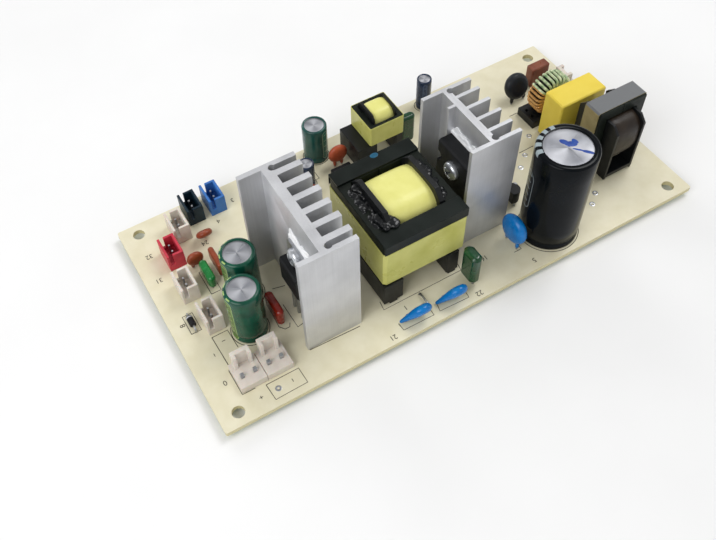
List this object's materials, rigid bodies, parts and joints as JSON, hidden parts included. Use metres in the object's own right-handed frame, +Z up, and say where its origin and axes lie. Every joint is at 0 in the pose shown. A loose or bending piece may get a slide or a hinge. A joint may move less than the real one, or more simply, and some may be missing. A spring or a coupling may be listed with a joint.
{
  "type": "power supply board",
  "caption": "Open-frame switch-mode power supply board with comb heatsinks, wound transformers, capacitors and a row of wire headers on a drilled board.",
  "frame": {"origin": "centre of the board's outline, at the solder tips it stands on", "axes": "+X along the board towards the mains end, +Y from the front edge to the back edge, +Z up from the board"},
  "size_m": [0.164, 0.08, 0.0439],
  "materials": {
    "board": "satin resin laminate",
    "solder": "bright tin solder",
    "tinned": "tinned copper",
    "heatsink": "extruded, plain",
    "steel": "nickel-plated steel",
    "moulding": "moulded epoxy",
    "paste": "insulating pad",
    "ferrite": "sintered ferrite",
    "bobbin": "moulded phenolic",
    "tape": "polyester tape",
    "winding_tape": "polyester tape over copper",
    "tan_tape": "paper tape",
    "dark_wrap": "impregnated wrap over copper",
    "copper": "enamelled copper wire",
    "green_wire": "insulated wire",
    "can": "drawn aluminium",
    "black_sleeve": "shrunk sleeve",
    "green_sleeve": "shrunk sleeve",
    "teal_sleeve": "shrunk sleeve",
    "navy_sleeve": "shrunk sleeve",
    "yellow_film": "moulded box",
    "brown_box": "moulded box",
    "blue_dip": "dipped coating",
    "orange_dip": "dipped coating",
    "brown_dip": "dipped coating",
    "red_dip": "dipped coating",
    "green_dip": "dipped coating",
    "dark_green_dip": "dipped coating",
    "black_dip": "dipped coating",
    "white_nylon": "moulded nylon",
    "black_nylon": "moulded nylon",
    "blue_nylon": "moulded nylon",
    "red_nylon": "moulded nylon",
    "blue_body": "lacquered body"
  },
  "bodies": {
    "root": {"black_wire_header": "black_nylon", "blue_disc_capacitors": "blue_dip", "blue_wire_header": "blue_nylon", "brown_box_capacitor": "brown_box", "brown_disc_capacitors": "brown_dip", "brown_film_capacitor": "brown_dip", "bulk_capacitor_can": "can", "bulk_capacitor_sleeve": "black_sleeve", "circuit_board": "board", "clamp_screws": "steel", "component_leads": "tinned", "green_dipped_capacitor": "green_dip", "green_film_capacitors": "dark_green_dip", "header_pins": "tinned", "large_wire_headers": "white_nylon", "left_heatsink": "heatsink", "line_filter_bobbin": "bobbin", "line_filter_core": "ferrite", "line_filter_pins": "tinned", "line_filter_tape": "tan_tape", "line_filter_winding": "dark_wrap", "main_transformer_bobbin": "bobbin", "main_transformer_core": "ferrite", "main_transformer_pins": "tinned", "main_transformer_tape": "tape", "main_transformer_winding": "winding_tape", "mains_film_capacitor": "yellow_film", "mains_header": "white_nylon", "navy_capacitor_sleeves": "navy_sleeve", "optocoupler": "moulding", "orange_disc_capacitor": "orange_dip", "output_capacitor_sleeves": "green_sleeve", "power_switch_body": "moulding", "power_switch_leads": "tinned", "rectifier_body": "moulding", "rectifier_tab": "tinned", "red_film_capacitor": "red_dip", "red_wire_header": "red_nylon", "right_heatsink": "heatsink", "small_capacitor_cans": "can", "small_diode": "moulding", "small_regulator": "moulding", "small_resistor": "blue_body", "small_transformer_bobbin": "bobbin", "small_transformer_core": "ferrite", "small_transformer_pins": "tinned", "small_transformer_tape": "tape", "small_transformer_winding": "winding_tape", "solder_joints": "solder", "teal_capacitor_sleeve": "teal_sleeve", "thermal_pads": "paste", "thermistor": "black_dip", "toroid_base": "bobbin", "toroid_copper_winding": "copper", "toroid_core": "ferrite", "toroid_green_winding": "green_wire", "white_wire_headers": "white_nylon", "wire_link": "tinned"}
  },
  "joints": []
}
